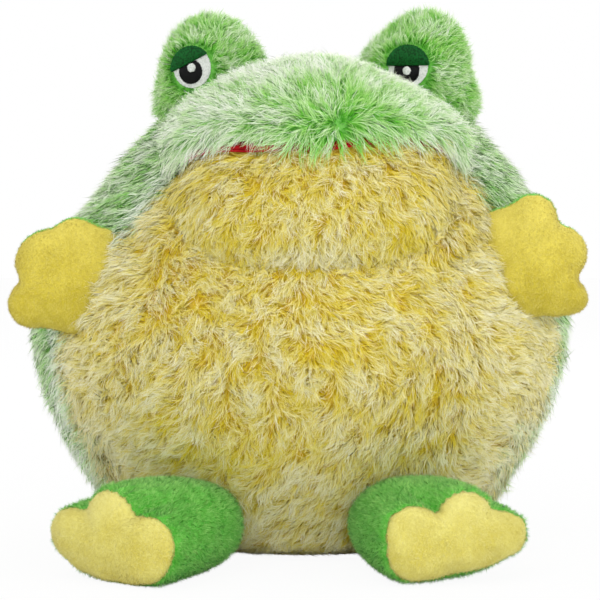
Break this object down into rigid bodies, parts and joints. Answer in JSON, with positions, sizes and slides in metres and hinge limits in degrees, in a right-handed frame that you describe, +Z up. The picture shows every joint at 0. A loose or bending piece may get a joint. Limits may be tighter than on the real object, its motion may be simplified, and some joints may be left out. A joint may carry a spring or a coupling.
{
  "type": "plush frog",
  "caption": "Round stuffed frog with a long-pile ball body, padded lips, eye mounds, flat hands and stubby feet that flex where they are sewn on.",
  "frame": {"origin": "on the surface that the toy sits on, under the middle of the toy's bounding box", "axes": "+Z up, the face looks along -Y, +X is the frog's own left"},
  "size_m": [0.3649, 0.379, 0.349],
  "materials": {
    "green_long_pile": "long two-tone pile, pale tips",
    "yellow_long_pile": "long two-tone pile, pale tips",
    "green_short_pile": "short brushed pile",
    "yellow_short_pile": "short brushed pile",
    "red_lining": "smooth plush",
    "white_embroidery": "satin stitch",
    "black_embroidery": "satin stitch",
    "dark_green_embroidery": "satin stitch",
    "fibre_stuffing": "loose polyester fibre"
  },
  "bodies": {
    "torso": {"back_panel": "green_long_pile", "belly_panel": "yellow_long_pile", "body_stuffing": "fibre_stuffing", "lower_lip_skin": "yellow_long_pile", "lower_lip_stuffing": "fibre_stuffing", "mouth_lining_lower": "red_lining", "eye_mound_left": "green_long_pile", "eye_mound_right": "green_long_pile", "eye_mound_stuffing_left": "fibre_stuffing", "eye_mound_stuffing_right": "fibre_stuffing", "eye_white_left": "white_embroidery", "eye_white_right": "white_embroidery", "pupil_left": "black_embroidery", "pupil_right": "black_embroidery", "highlight_left": "white_embroidery", "highlight_right": "white_embroidery", "eyelid_left": "dark_green_embroidery", "eyelid_right": "dark_green_embroidery"},
    "upper_lip": {"upper_lip_skin": "green_long_pile", "upper_lip_stuffing": "fibre_stuffing", "mouth_lining_upper": "red_lining"},
    "hand_left": {"hand_palm_left": "yellow_short_pile", "hand_back_left": "green_short_pile", "hand_stuffing_left": "fibre_stuffing"},
    "hand_right": {"hand_palm_right": "yellow_short_pile", "hand_back_right": "green_short_pile", "hand_stuffing_right": "fibre_stuffing"},
    "foot_left": {"foot_sole_left": "yellow_short_pile", "foot_upper_left": "green_short_pile", "foot_stuffing_left": "fibre_stuffing"},
    "foot_right": {"foot_sole_right": "yellow_short_pile", "foot_upper_right": "green_short_pile", "foot_stuffing_right": "fibre_stuffing"}
  },
  "joints": [
    {"name": "upper_lip_lift", "type": "hinge", "parent": "torso", "child": "upper_lip", "pos_m": [0.011, -0.016, 0.316], "axis": [-1, 0, 0], "range_deg": [0, 12]},
    {"name": "hand_left_flap", "type": "hinge", "parent": "torso", "child": "hand_left", "pos_m": [0.13275, -0.068, 0.182], "axis": [0.4167, 0, -0.9091], "range_deg": [-20, 35], "stiffness_Nm_per_rad": 0.05},
    {"name": "hand_right_flap", "type": "hinge", "parent": "torso", "child": "hand_right", "pos_m": [-0.1315, -0.068, 0.174], "axis": [0.459, 0, 0.8884], "range_deg": [-20, 35], "stiffness_Nm_per_rad": 0.05},
    {"name": "foot_left_lift", "type": "hinge", "parent": "torso", "child": "foot_left", "pos_m": [0.07079, -0.11274, 0.06], "axis": [-0.9397, -0.342, 0], "range_deg": [0, 20]},
    {"name": "foot_right_lift", "type": "hinge", "parent": "torso", "child": "foot_right", "pos_m": [-0.08006, -0.12072, 0.06], "axis": [-0.788, 0.6157, 0], "range_deg": [0, 20]}
  ]
}
